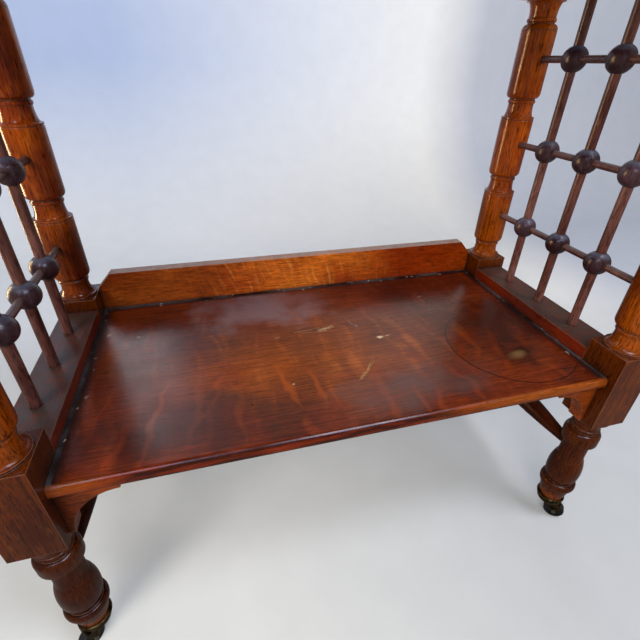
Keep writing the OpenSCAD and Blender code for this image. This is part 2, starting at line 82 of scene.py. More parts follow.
wall_y = 1.6
sweep_radius = 0.6


def matt_paint():
    """Matt emulsion, rolled on: pale, with faint blotches of about 60 mm, and graded with painted shade and
    light.
    Is Glossy Ray picks what shows in gloss alone, as painted reflections."""
    material, tree = empty_material("matt_emulsion_paint")
    place = add(tree, "TexCoord", {}).outputs["Object"]
    along, across, height = add(tree, "SeparateXYZ", {"Vector": place}).outputs
    in_gloss = add(tree, "LightPath", {}).outputs["Is Glossy Ray"]
    # Painted shade makes the wall cooler and darker at the left; it is warm and pale at the right. Its far
    # end is dark in gloss alone, a painted reflection.
    side = add(tree, "MapRange", {"Value": along, "From Min": -0.42, "From Max": 1.17})
    lit = add(tree, "MixRGB", {
        "Fac": side.outputs["Result"], "Color1": paint("#a8b6d4"), "Color2": paint("#f8f6f0")})
    far = add(tree, "MapRange", {"Value": along, "From Min": 1.2, "From Max": 1.6})
    far_gloss = add(tree, "Math", {0: far.outputs["Result"], 1: in_gloss}, operation="MULTIPLY")
    wall = add(tree, "MixRGB", {
        "Fac": far_gloss.outputs["Value"], "Color1": lit.outputs["Color"], "Color2": paint("#706a65")})
    # Painted shade makes the floor greyer to the right before the stand, and painted light makes it paler
    # behind it. In gloss alone it is dark, a painted reflection.
    front_side = add(tree, "MapRange", {"Value": along, "From Min": -0.15, "From Max": 0.3})
    front = add(tree, "MixRGB", {
        "Fac": front_side.outputs["Result"], "Color1": paint("#d0d0cc"), "Color2": paint("#b8babb")})
    back = add(tree, "MixRGB", {
        "Fac": side.outputs["Result"], "Color1": paint("#ced0d2"), "Color2": paint("#e6e3dc")})
    behind = add(tree, "MapRange", {"Value": across, "From Min": 0.1, "From Max": 0.5})
    pale = add(tree, "MixRGB", {
        "Fac": behind.outputs["Result"], "Color1": front.outputs["Color"], "Color2": back.outputs["Color"]})
    gloss_share = 0.75
    floor_gloss = add(tree, "Math", {0: in_gloss, 1: gloss_share}, operation="MULTIPLY")
    floor = add(tree, "MixRGB", {
        "Fac": floor_gloss.outputs["Value"], "Color1": pale.outputs["Color"], "Color2": paint("#463c34")})
    rise = add(tree, "MapRange", {"Value": height, "From Min": 0.0, "From Max": sweep_radius})
    even = add(tree, "MixRGB", {
        "Fac": rise.outputs["Result"], "Color1": floor.outputs["Color"], "Color2": wall.outputs["Color"]})
    # The right end of the room is in shade, except in gloss.
    shade = add(tree, "MapRange", {"Value": along, "From Min": 0.9, "From Max": 1.2, "To Max": 0.9})
    not_gloss = add(tree, "Math", {0: 1.0, 1: in_gloss}, operation="SUBTRACT")
    seen_shade = add(tree, "Math", {0: shade.outputs["Result"], 1: not_gloss.outputs["Value"]},
                     operation="MULTIPLY")
    tone = add(tree, "MixRGB", {
        "Fac": seen_shade.outputs["Value"], "Color1": even.outputs["Color"], "Color2": paint("#b6bac5")})
    # A grey patch high on the wall shows in gloss alone, a painted reflection.
    patch_centre = (0.2, wall_y, 1.6)
    from_patch = add(tree, "VectorMath", {0: place, 1: patch_centre}, operation="DISTANCE")
    fade = add(tree, "MapRange", {
        "Value": from_patch.outputs["Value"], "From Min": 0.2, "From Max": 0.75, "To Min": 1, "To Max": 0},
        interpolation_type="SMOOTHSTEP")
    patch = add(tree, "Math", {0: fade.outputs["Result"], 1: in_gloss}, operation="MULTIPLY")
    graded = add(tree, "MixRGB", {
        "Fac": patch.outputs["Value"], "Color1": tone.outputs["Color"], "Color2": paint("#6f7275")})
    blotch_size = 0.06
    blotch = add(tree, "TexNoise", {"Vector": place, "Scale": 1 / blotch_size, "Detail": 6})
    faint = add(tree, "MapRange", {"Value": blotch.outputs["Fac"], "To Min": 0.95, "To Max": 1.05})
    mottled = add(tree, "VectorMath", {0: graded.outputs["Color"], 1: faint.outputs["Result"]},
                  operation="MULTIPLY")
    shader = add(tree, "BsdfPrincipled", {
        "Base Color": mottled.outputs["Vector"], "Roughness": 0.9, "Specular IOR Level": 0.0})
    add(tree, "OutputMaterial", {"Surface": shader.outputs["BSDF"]})
    return material


floor_front = -6.0
wall_top = 4.5
half_width = 16.0
sweep_steps = 24
section = [(floor_front, 0.0)]
for step in range(sweep_steps + 1):
    angle = math.radians(90) * step / sweep_steps
    section.append((wall_y - sweep_radius * (1 - math.sin(angle)), sweep_radius * (1 - math.cos(angle))))
section.append((wall_y, wall_top))
points = [(x, y, z) for y, z in section for x in (-half_width, half_width)]
strips = [(2 * i, 2 * i + 1, 2 * i + 3, 2 * i + 2) for i in range(len(section) - 1)]
sweep_mesh = bpy.data.meshes.new("floor_sweep")
sweep_mesh.from_pydata(points, [], strips)
for face in sweep_mesh.polygons:
    face.use_smooth = True
sweep_mesh.materials.append(matt_paint())
floor_sweep = bpy.data.objects.new("floor_sweep", sweep_mesh)
bpy.context.scene.collection.objects.link(floor_sweep)


def softbox(name, place, target, width, height, watts, tint, mirrored=True, lighting=True):
    """A soft rectangular lamp that the camera doesn't see. It shows in gloss if it is mirrored,
    and lights matt surfaces if it is lighting."""
    lamp = bpy.data.lights.new(name, "AREA")
    lamp.shape = "RECTANGLE"
    lamp.size = width
    lamp.size_y = height
    lamp.energy = watts
    lamp.color = paint(tint)[:3]
    holder = bpy.data.objects.new(name, lamp)
    holder.location = place
    holder.rotation_euler = (Vector(target) - Vector(place)).to_track_quat("-Z", "Y").to_euler()
    holder.visible_camera = False
    holder.visible_glossy = mirrored
    holder.visible_diffuse = lighting
    bpy.context.scene.collection.objects.link(holder)


# Three large lamps light the stand from the front. The others draw the lines of its gloss.
softbox("lamp_left", (-2.1, -2.6, 2.3), (0, 0, 0.3), 1.9, 1.6, 110, "#fffaf2", mirrored=False)
softbox("lamp_right", (2.5, -1.9, 2.2), (0, 0, 0.3), 1.9, 1.6, 36, "#e6eeff", mirrored=False)
softbox("lamp_front", (-0.5, -2.3, 1.6), (0, 0, 0.35), 1.0, 1.0, 22, "#fffdf8", mirrored=False)
softbox("lamp_above", (0.7, -0.75, 2.6), (0.1, -0.2, 0), 0.8, 0.5, 26, "#eef2ff")
softbox("lamp_rear_left", (-0.55, 1.4, 1.3), (-0.2, 0, 0.3), 0.3, 0.9, 1.6, "#f4f7ff")
softbox("lamp_low_left", (-1.5, 0.65, 0.5), (0.3, 0.15, 0.45), 0.2, 1.0, 18, "#ffdca4", lighting=False)
# Two windows give the shelf's front edge its blue-white line, in gloss alone.
for name, x, width, watts, tint in (
        ("lamp_window_left", -0.58, 0.55, 9, "#aecbff"), ("lamp_window_right", 0.4, 0.5, 19, "#b8d0ff")):
    softbox(name, (x, -0.9, 1.48), (x, -0.16, 0.29), width, 0.5, watts, tint, lighting=False)

world = bpy.data.worlds.new("even_sky")
bpy.context.scene.world = world
world.use_nodes = True
sky = world.node_tree
sky.nodes.clear()
evenly = add(sky, "Background", {"Color": paint("#f1f3f6"), "Strength": 0.3})
add(sky, "OutputWorld", {"Surface": evenly.outputs["Background"]})


# Lower shelf
# One wide board of quartersawn oak, planed, stained red-brown and finished with shellac.
# Its ends are tongued into the side rails, and its front edge is rounded over and worn.
def oak(name, grain, rays, tilt, dark, light, fleck, share, soft=0.82, pore_tone=0.4):
    """Stained quartersawn oak: lines and pores along the grain, and soft ray flecks across it.
    Grain and rays are the sizes in metres of one streak along X, Y and Z; tilt turns the rays.
    The flecks are blurred up to the noise value soft, and take at most their share of the colour.
    Pore_tone is the shade of the pores, from 0, black, to 1, not seen."""
    material, tree = empty_material(name)
    place = add(tree, "TexCoord", {}).outputs["Object"]
    drawn = add(tree, "Mapping", {"Vector": place, "Scale": [1 / size for size in grain]})
    lines = add(tree, "TexNoise", {
        "Vector": drawn.outputs["Vector"], "Scale": 1, "Detail": 4, "Roughness": 0.65})
    # Pores are drawn 1.4 by 10 mm, because the real ones are too fine to show.
    pore_length = 0.010
    pore_width = 0.0014
    pore = [pore_length if size == max(grain) else pore_width for size in grain]
    pricked = add(tree, "Mapping", {"Vector": place, "Scale": [1 / size for size in pore]})
    pores = add(tree, "TexNoise", {"Vector": pricked.outputs["Vector"], "Scale": 1, "Detail": 1})
    # Stain takes unevenly over patches of about 90 mm.
    stain_patch = 0.09
    patches = add(tree, "TexNoise", {"Vector": place, "Scale": 1 / stain_patch, "Detail": 3})
    stain = add(tree, "MapRange", {"Value": patches.outputs["Fac"], "From Min": 0.36, "From Max": 0.64})
    ground = add(tree, "MixRGB", {
        "Fac": stain.outputs["Result"], "Color1": paint(dark), "Color2": paint(light)})
    # The rays wander by about 8 mm over 60 mm of their length.
    wander_length = 0.06
    wander_reach = 0.025
    wander = add(tree, "TexNoise", {"Vector": place, "Scale": 1 / wander_length, "Detail": 1})
    offset = add(tree, "VectorMath", {0: wander.outputs["Color"], 1: (0.5, 0.5, 0.5)}, operation="SUBTRACT")
    shift = add(tree, "VectorMath", {0: offset.outputs["Vector"], "Scale": wander_reach}, operation="SCALE")
    bent = add(tree, "VectorMath", {0: place, 1: shift.outputs["Vector"]}, operation="ADD")
    crossed = add(tree, "Mapping", {"Vector": bent.outputs["Vector"], "Rotation": tilt, "Scale": rays},
                  vector_type="TEXTURE")
    flames = add(tree, "TexNoise", {"Vector": crossed.outputs["Vector"], "Scale": 1, "Detail": 2})
    mask = add(tree, "MapRange", {
        "Value": flames.outputs["Fac"], "From Min": 0.5, "From Max": soft, "To Max": share},
        interpolation_type="SMOOTHSTEP")
    flamed = add(tree, "MixRGB", {
        "Fac": mask.outputs["Result"], "Color1": ground.outputs["Color"], "Color2": paint(fleck)})
    tone = add(tree, "MapRange", {
        "Value": lines.outputs["Fac"], "From Min": 0.3, "From Max": 0.7, "To Min": 0.5, "To Max": 1.42})
    prick = add(tree, "MapRange", {
        "Value": pores.outputs["Fac"], "From Min": 0.54, "From Max": 0.68, "To Min": 1, "To Max": pore_tone})
    depth = add(tree, "Math", {0: tone.outputs["Result"], 1: prick.outputs["Result"]}, operation="MULTIPLY")
    streaked = add(tree, "VectorMath", {0: flamed.outputs["Color"], 1: depth.outputs["Value"]},
                   operation="MULTIPLY")
    return material, tree, place, streaked.outputs["Vector"], depth.outputs["Value"]


def shellac(tree, place, colour, lines, gloss, dull, relief, shine=1.45):
    """Rubbed shellac over the wood: smooth and glossy, with hand marks of about 25 mm.
    Dull is the share of the surface, or a socket with it, where the finish is worn or dirty.
    Shine is the index of refraction, lower where the film is thin and sunk into the wood.
    Old shellac is amber, so its gloss is a little warm."""
    hand_mark = 0.025
    hands = add(tree, "TexNoise", {"Vector": place, "Scale": 1 / hand_mark, "Detail": 4})
    rough = add(tree, "MapRange", {
        "Value": hands.outputs["Fac"], "From Min": 0.3, "From Max": 0.7,
        "To Min": gloss - 0.05, "To Max": gloss + 0.07})
    matt = add(tree, "MapRange", {"Value": dull, "To Min": rough.outputs["Result"], "To Max": 0.75})
    arris_radius = 0.0012
    arris = add(tree, "Bevel", {"Radius": arris_radius}, samples=4)
    # Where the softened normal leaves the true one there is an arris, rubbed pale by handling and given a
    # painted highlight.
    true_normal = add(tree, "NewGeometry", {}).outputs["Normal"]
    agree = add(tree, "VectorMath", {0: arris.outputs["Normal"], 1: true_normal}, operation="DOT_PRODUCT")
    rubbed_pale_and_highlight = add(tree, "MapRange", {
        "Value": agree.outputs["Value"], "From Min": 0.99, "From Max": 0.8, "To Max": 0.4})
    worn = add(tree, "MixRGB", {
        "Fac": rubbed_pale_and_highlight.outputs["Result"], "Color1": colour, "Color2": paint("#a67c66")})
    grain_depth = 0.0004
    grain = add(tree, "Bump", {
        "Height": lines, "Strength": relief, "Distance": grain_depth, "Normal": arris.outputs["Normal"]})
    shader = add(tree, "BsdfPrincipled", {
        "Base Color": worn.outputs["Color"], "Roughness": matt.outputs["Result"], "IOR": shine,
        "Specular Tint": paint("#ffecdf"), "Normal": grain.outputs["Normal"]})
    add(tree, "OutputMaterial", {"Surface": shader.outputs["BSDF"]})


shelf_low, shelf_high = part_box("lower_shelf")
shelf_grain = (0.04, 0.0017, 0.0017)
shelf_oak, tree, place, stained, lines = oak(
    "shellacked_quartersawn_oak_shelf", shelf_grain, (0.018, 0.10, 0.05), (0, 0, math.radians(5)),
    "#4a190b", "#6a270b", "#8c3a12", 0.5, pore_tone=0.68)
along, across, up = add(tree, "SeparateXYZ", {"Vector": place}).outputs
# Small marks have a ragged outline, with teeth of about 4 mm, and stains a drifting one, of 45 mm.
tooth_size = 0.004
drift_size = 0.045
fine = add(tree, "TexNoise", {"Vector": place, "Scale": 1 / tooth_size, "Detail": 3})
cloud = add(tree, "TexNoise", {"Vector": place, "Scale": 1 / drift_size, "Detail": 3})
ragged = add(tree, "MapRange", {
    "Value": fine.outputs["Fac"], "To Min": -0.9, "To Max": 0.9}).outputs["Result"]
drifting = add(tree, "MapRange", {
    "Value": cloud.outputs["Fac"], "To Min": -0.9, "To Max": 0.9}).outputs["Result"]
spot_depth = 0.004


def spot(where, x, y, half_x, half_y, turn, outline, share):
    """Share of a worn spot on the shelf's top, given in millimetres and degrees, with an uneven outline."""
    spread = add(tree, "Mapping", {
        "Vector": where, "Location": (x / 1000, y / 1000, shelf_high.z),
        "Rotation": (0, 0, math.radians(turn)), "Scale": (half_x / 1000, half_y / 1000, spot_depth)},
        vector_type="TEXTURE")
    reach = add(tree, "VectorMath", {0: spread.outputs["Vector"]}, operation="LENGTH")
    edge = add(tree, "Math", {0: reach.outputs["Value"], 1: outline}, operation="ADD")
    inside = add(tree, "MapRange", {
        "Value": edge.outputs["Value"], "From Min": 0.2, "From Max": 1.2, "To Min": share, "To Max": 0},
        interpolation_type="SMOOTHSTEP")
    return inside.outputs["Result"]


def marked(colour, where, outline, marks):
    """Lays marks over a colour: each has a place and half sizes in millimetres, a turn in degrees,
    a colour and a share."""
    for x, y, half_x, half_y, turn, tint, share in marks:
        colour = add(tree, "MixRGB", {
            "Fac": spot(where, x, y, half_x, half_y, turn, outline, share),
            "Color1": colour, "Color2": paint(tint)}).outputs["Color"]
    return colour


# Light amber wood shows through the worn stain in the middle of the board.
amber_gain = (2.1, 3.2, 1.5)
rubbed_wood = add(tree, "VectorMath", {0: stained, 1: amber_gain}, operation="MULTIPLY")
colour = add(tree, "MixRGB", {
    "Fac": spot(place, -35, -15, 230, 120, 0, drifting, 0.8), "Color1": stained,
    "Color2": rubbed_wood.outputs["Vector"]}).outputs["Color"]

# Broad ray flecks, paler than the stain, that bend by about 4 mm.
bend = add(tree, "VectorMath", {0: cloud.outputs["Color"], 1: (0.5, 0.5, 0.5)}, operation="SUBTRACT")
bend_reach = (0.04, 0.04, 0)
bend_size = add(tree, "VectorMath", {0: bend.outputs["Vector"], 1: bend_reach}, operation="MULTIPLY")
curved = add(tree, "VectorMath", {0: place, 1: bend_size.outputs["Vector"]}, operation="ADD")
ray_flecks = (
    (-212, -95, 4.5, 60, -15, "#96400f", 0.5),
    (-173, -98, 4.5, 50, -6, "#96400f", 0.4),
    (-151, -67, 4, 44, -26, "#96400f", 0.4),
    (-130, -100, 5, 60, 1, "#96400f", 0.4),
    (-73, -78, 5, 40, 12, "#b0500c", 0.42),
    (-40, -86, 4.5, 34, 4, "#b0500c", 0.32),
    (-267, -75, 3, 42, -10, "#84300c", 0.45),
    (-246, -129, 3, 30, -12, "#84300c", 0.45),
    (-222, -144, 3, 24, -15, "#84300c", 0.4),
    (36, -117, 6, 48, -7, "#9a4210", 0.28),
    (71, -133, 5.5, 34, -5, "#9a4210", 0.28),
    (92, -142, 5, 26, -16, "#943a0c", 0.3),
    (131, -122, 5.5, 40, 7, "#943a0c", 0.34),
    (154, -64, 5.5, 42, -27, "#7c2608", 0.34),
    (178, -60, 5, 44, -23, "#843008", 0.38),
    (208, -68, 5.5, 64, -16, "#8c3408", 0.4),
)
colour = marked(colour, curved.outputs["Vector"], 0, ray_flecks)

# Soft marks: a grey-violet bloom of damp shellac near the back with its sheen painted in, a grey painted
# reflection over the front middle, and a scorch with a pale middle.
soft_marks_and_sheen = (
    (-190, -112, 110, 60, 0, "#2a1714", 0.6),
    # A grey painted reflection of the wall, over the front middle.
    (70, -112, 95, 45, 0, "#4c3c3a", 0.65),
    (258, -8, 85, 70, 0, "#2c0d07", 0.7),
    (185, 100, 110, 60, 0, "#3c0f06", 0.5),
    # The grey-violet bloom, with the sheen it reflects painted in.
    (-72, 100, 98, 58, -4, "#867a82", 0.56),
    (238, -84, 36, 28, 0, "#1e0d08", 0.85),
    (228, -90, 15, 9, 15, "#755634", 0.85),
)
colour = marked(colour, place, drifting, soft_marks_and_sheen)

# Rubs, chips and scratches.
scratches = (
    (-4, 25, 24, 6, 4, "#2a130c", 0.55),
    (2, 25, 13, 3.2, 6, "#c09468", 0.9),
    (-2, 20, 11, 1.6, 2, "#a67c54", 0.8),
    (10, 29, 8, 1.4, 20, "#b48a60", 0.8),
    (-24, 27, 26, 1.3, 5, "#8a6a50", 0.6),
    (-20, 21, 22, 1.0, -5, "#8a6a50", 0.6),
    (-34, 33, 16, 0.9, 9, "#80644c", 0.5),
    (68, -12, 5, 3.2, 0, "#e2c49c", 1.0),
    (80, -11, 5, 1.1, 10, "#b8946c", 0.9),
    (16, -84, 10, 1.3, 52, "#8e6c34", 0.7),
    (21, -80, 13, 1.2, 50, "#94703a", 0.75),
    (27, -75, 14, 1.3, 48, "#8e6c34", 0.75),
    (31, -68, 12, 1.1, 54, "#947440", 0.7),
    (38, -63, 9, 1.0, 50, "#86662e", 0.6),
    (43, -50, 16, 0.8, 62, "#7c5a34", 0.5),
    (40, 33, 18, 0.9, 105, "#8c7464", 0.55),
    (46, 22, 4, 2.0, 100, "#8a7c80", 0.6),
    (-65, -78, 2.6, 1.6, 0, "#b0967a", 0.8),
    (-67, 18, 4.5, 1.2, 10, "#94755a", 0.7),
    (172, 78, 6, 1.4, 10, "#9c8468", 0.7),
    (-245, 63, 3.2, 2.2, 0, "#a88c70", 0.7),
    (-284, 76, 5, 2.4, 30, "#b09070", 0.7),
    (-115, -100, 1.8, 1.8, 0, "#1c0d08", 0.8),
)
colour = marked(colour, place, ragged, scratches)

# Ring left by a hot or wet pot, a thin dark line that shows on its left and front.
ring_centre = (0.232, -0.064, shelf_high.z)
ring_radius = 0.082
ring_line = 0.0018
ring_side = (-0.8, -0.6, 0)
from_ring = add(tree, "VectorMath", {0: place, 1: ring_centre}, operation="SUBTRACT")
ring_reach = add(tree, "VectorMath", {0: from_ring.outputs["Vector"]}, operation="LENGTH")
ring_gap = add(tree, "Math", {0: ring_reach.outputs["Value"], 1: ring_radius}, operation="SUBTRACT")
ring_off = add(tree, "Math", {0: ring_gap.outputs["Value"]}, operation="ABSOLUTE")
ring_miss = add(tree, "MapRange", {
    "Value": ring_off.outputs["Value"], "From Min": 0.2 * ring_line, "From Max": ring_line,
    "To Min": 1, "To Max": 0})
ring_way = add(tree, "VectorMath", {0: from_ring.outputs["Vector"], 1: ring_side},
               operation="DOT_PRODUCT")
ring_shown = add(tree, "MapRange", {
    "Value": ring_way.outputs["Value"], "From Min": -0.4 * ring_radius, "From Max": 0.1 * ring_radius,
    "To Max": 0.65})
ring = add(tree, "Math", {0: ring_miss.outputs["Result"], 1: ring_shown.outputs["Result"]},
           operation="MULTIPLY")
colour = add(tree, "MixRGB", {
    "Fac": ring.outputs["Value"], "Color1": colour, "Color2": paint("#1a0906")}).outputs["Color"]

# Grime and dust, packed into the corners along the back rail and the side rails.
back_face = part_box("back_rail")[0].y
rail_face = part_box("lower_rail_right")[0].x
grime_width = 0.012
wobble = add(tree, "MapRange", {"Value": fine.outputs["Fac"], "To Min": -0.003, "To Max": 0.003})
back_edge = add(tree, "Math", {0: across, 1: wobble.outputs["Result"]}, operation="ADD")
back_grime = add(tree, "MapRange", {
    "Value": back_edge.outputs[0], "From Min": back_face - 1.2 * grime_width,
    "From Max": back_face - 0.6 * grime_width})
outward = add(tree, "Math", {0: along}, operation="ABSOLUTE")
side_edge = add(tree, "Math", {0: outward.outputs[0], 1: wobble.outputs["Result"]}, operation="ADD")
side_grime = add(tree, "MapRange", {
    "Value": side_edge.outputs[0], "From Min": rail_face - 1.3 * grime_width,
    "From Max": rail_face - 0.3 * grime_width})
grime = add(tree, "Math", {0: back_grime.outputs[0], 1: side_grime.outputs[0]}, operation="MAXIMUM")
# A grey line of dust lies in the very joint, thicker and thinner along it.
joint = add(tree, "MapRange", {"Value": grime.outputs[0], "From Min": 0.85, "From Max": 1})
dusting = add(tree, "MapRange", {"Value": cloud.outputs["Fac"], "From Min": 0.4, "From Max": 0.6})
dust_line = add(tree, "Math", {0: joint.outputs["Result"], 1: dusting.outputs["Result"]},
                operation="MULTIPLY")
packed = add(tree, "MixRGB", {
    "Fac": dust_line.outputs["Value"], "Color1": paint("#0f0908"), "Color2": paint("#46474a")})
crumb_size = 0.007
crumb = add(tree, "TexNoise", {"Vector": place, "Scale": 1 / crumb_size, "Detail": 1})
crumbs = add(tree, "MapRange", {"Value": crumb.outputs["Fac"], "From Min": 0.7, "From Max": 0.76})
grime_tone = add(tree, "MixRGB", {
    "Fac": crumbs.outputs["Result"], "Color1": packed.outputs["Color"], "Color2": paint("#a8a49c")})
colour = add(tree, "MixRGB", {
    "Fac": grime.outputs[0], "Color1": colour, "Color2": grime_tone.outputs["Color"]}).outputs["Color"]

# All this lies on the board's upper face; its underside keeps the plain stain.
upper_face = add(tree, "MapRange", {
    "Value": up, "From Min": shelf_high.z - 0.006, "From Max": shelf_high.z - 0.004})
colour = add(tree, "MixRGB", {
    "Fac": upper_face.outputs["Result"], "Color1": stained, "Color2": colour}).outputs["Color"]

# Front edge, rounded over and rubbed to orange, and to golden wood at its right and far left, with painted
# shade on its lower half.
edge_start = shelf_low.y + 0.005
edge_end = shelf_low.y + 0.003
rubbed = add(tree, "MapRange", {"Value": across, "From Min": edge_start, "From Max": edge_end})
wear_length = 0.05
wear_width = 0.006
wear_run = add(tree, "Mapping", {
    "Vector": place, "Scale": (1 / wear_length, 1 / wear_width, 1 / wear_width)})
wear_noise = add(tree, "TexNoise", {"Vector": wear_run.outputs["Vector"], "Scale": 1, "Detail": 4})
bare = add(tree, "MapRange", {"Value": wear_noise.outputs["Fac"], "From Min": 0.4, "From Max": 0.62})
edge_tone = add(tree, "MixRGB", {
    "Fac": bare.outputs["Result"], "Color1": paint("#300800"), "Color2": paint("#661c00")})
right_wear = add(tree, "MapRange", {"Value": along, "From Min": 0.06, "From Max": 0.17, "To Max": 0.85})
left_wear = add(tree, "MapRange", {"Value": along, "From Min": -0.235, "From Max": -0.27, "To Max": 0.5})
end_wear = add(tree, "Math", {0: right_wear.outputs[0], 1: left_wear.outputs[0]}, operation="ADD")
# Painted shade: the gold fades and the wood darkens towards the underside of the edge.
gold_above_shade = add(tree, "MapRange", {
    "Value": up, "From Min": shelf_low.z + 0.003, "From Max": shelf_low.z + 0.008,
    "To Min": 0.25, "To Max": 1})
gilded = add(tree, "Math", {0: end_wear.outputs[0], 1: gold_above_shade.outputs["Result"]}, operation="MULTIPLY")
gold_tone = add(tree, "MixRGB", {
    "Fac": gilded.outputs[0], "Color1": edge_tone.outputs["Color"], "Color2": paint("#843e00")})
foot_shade = add(tree, "MapRange", {
    "Value": up, "From Min": shelf_low.z + 0.001, "From Max": shelf_low.z + 0.005,
    "To Min": 0.4, "To Max": 1})
edge_grain_and_shade = add(tree, "Math", {0: lines, 1: foot_shade.outputs["Result"]}, operation="MULTIPLY")
edge_colour = add(tree, "VectorMath", {0: gold_tone.outputs["Color"], 1: edge_grain_and_shade.outputs["Value"]},
                  operation="MULTIPLY")
colour = add(tree, "MixRGB", {
    "Fac": rubbed.outputs["Result"], "Color1": colour,
    "Color2": edge_colour.outputs["Vector"]}).outputs["Color"]
# The edge's gloss is lost in stretches, and the grime is half dull.
stretch_length = 0.05
stretch_width = 0.008
patchy = add(tree, "Mapping", {
    "Vector": place, "Scale": (1 / stretch_length, 1 / stretch_width, 1 / stretch_width)})
stretch = add(tree, "TexNoise", {"Vector": patchy.outputs["Vector"], "Scale": 1, "Detail": 3})
lost = add(tree, "MapRange", {
    "Value": stretch.outputs["Fac"], "From Min": 0.42, "From Max": 0.7, "To Max": 0.15})
dull_edge = add(tree, "Math", {0: lost.outputs["Result"], 1: rubbed.outputs["Result"]}, operation="MULTIPLY")
grime_dullness = 0.45
dull_grime = add(tree, "Math", {0: grime.outputs[0], 1: grime_dullness}, operation="MULTIPLY")
dull = add(tree, "Math", {0: dull_edge.outputs[0], 1: dull_grime.outputs[0]}, operation="MAXIMUM")
shellac(tree, place, colour, lines, 0.2, dull.outputs[0], 0.1)


def dress(name, material):
    """Gives a CAD node its finish."""
    nodes[name].material_slots[0].material = material


dress("lower_shelf", shelf_oak)


# Back rail
# A quartersawn oak strip with clipped upper corners, screwed to the shelf from below.
# Its face keeps most of its golden stain, and dust lies on its upper edge.
def dusty(tree, place, colour, tint, share):
    """Dust on the faces that look up, in patches of about 10 mm; gives the colour and the dusty share."""
    normal = add(tree, "NewGeometry", {}).outputs["Normal"]
    level = add(tree, "SeparateXYZ", {"Vector": normal}).outputs["Z"]
    upward = add(tree, "MapRange", {"Value": level, "From Min": 0.5, "From Max": 0.95, "To Max": share})
    dust_patch = 0.01
    patch = add(tree, "TexNoise", {"Vector": place, "Scale": 1 / dust_patch, "Detail": 4})
    thick = add(tree, "MapRange", {
        "Value": patch.outputs["Fac"], "From Min": 0.3, "From Max": 0.6, "To Min": 0.5, "To Max": 1})
    laid = add(tree, "Math", {0: upward.outputs["Result"], 1: thick.outputs["Result"]}, operation="MULTIPLY")
    mixed = add(tree, "MixRGB", {"Fac": laid.outputs["Value"], "Color1": colour, "Color2": paint(tint)})
    return mixed.outputs["Color"], laid.outputs["Value"]


def grime_and_shade(tree, colour, reach, share):
    """Dirt and old polish, and painted shade, in the corners and grooves of a piece, within reach of them."""
    corner = add(tree, "AmbientOcclusion", {"Distance": reach}, samples=4)
    soiling_and_shade = add(tree, "MapRange", {
        "Value": corner.outputs["AO"], "From Min": 0.35, "From Max": 0.85, "To Min": share, "To Max": 0})
    mixed = add(tree, "MixRGB", {"Fac": soiling_and_shade.outputs["Result"], "Color1": colour, "Color2": paint("#160b07")})
    return mixed.outputs["Color"]


rail_gold, tree, place, colour, lines = oak(
    "shellacked_quartersawn_oak_back_rail", (0.03, 0.01, 0.0018), (0.0045, 0.05, 0.05),
    (0, math.radians(-16), 0), "#983c0e", "#ce6c1c", "#de9040", 0.55, 0.76, 0.55)
along = add(tree, "SeparateXYZ", {"Vector": place}).outputs["X"]
# The ends are darker and redder than the middle, the left one up to a brighter flare.
for start, full, share, tint in ((-0.105, -0.15, 0.75, "#702a0c"), (0.03, 0.17, 0.88, "#7c2400")):
    end = add(tree, "MapRange", {"Value": along, "From Min": start, "From Max": full, "To Max": share})
    red_wood = add(tree, "VectorMath", {0: paint(tint)[:3], 1: lines}, operation="MULTIPLY")
    colour = add(tree, "MixRGB", {
        "Fac": end.outputs["Result"], "Color1": colour,
        "Color2": red_wood.outputs["Vector"]}).outputs["Color"]
colour, dust = dusty(tree, place, colour, "#a8988f", 0.8)
colour = grime_and_shade(tree, colour, 0.008, 0.7)
shellac(tree, place, colour, lines, 0.27, dust, 0.15)
dress("back_rail", rail_gold)

# Side rails
# Oak rails tenoned between the posts, that carry the lattice sticks and the shelf's ends.
# Their tops have lost their colour to dust and handling.
sides = ("left", "right")
rail_red, tree, place, colour, lines = oak(
    "shellacked_oak_side_rails", (0.0025, 0.05, 0.0025), (0.03, 0.02, 0.01), (0, 0, 0),
    "#481204", "#742004", "#8a300a", 0.4)
colour = dusty(tree, place, colour, "#3c3530", 0.9)[0]
colour = grime_and_shade(tree, colour, 0.008, 0.8)
shellac(tree, place, colour, lines, 0.25, 0.1, 0.15)
for side in sides:
    dress("lower_rail_" + side, rail_red)
    dress("upper_rail_" + side, rail_red)

# Top board
# A quartersawn oak board like the shelf, planed and rounded all round.
# It is pegged on the posts and screwed from the rails.
board_oak, tree, place, colour, lines = oak(
    "shellacked_quartersawn_oak_top", shelf_grain, (0.012, 0.1, 0.05), (0, 0, math.radians(-6)),
    "#521d0c", "#763011", "#904520", 0.6)
shellac(tree, place, colour, lines, 0.28, 0, 0.05)
dress("top_board", board_oak)


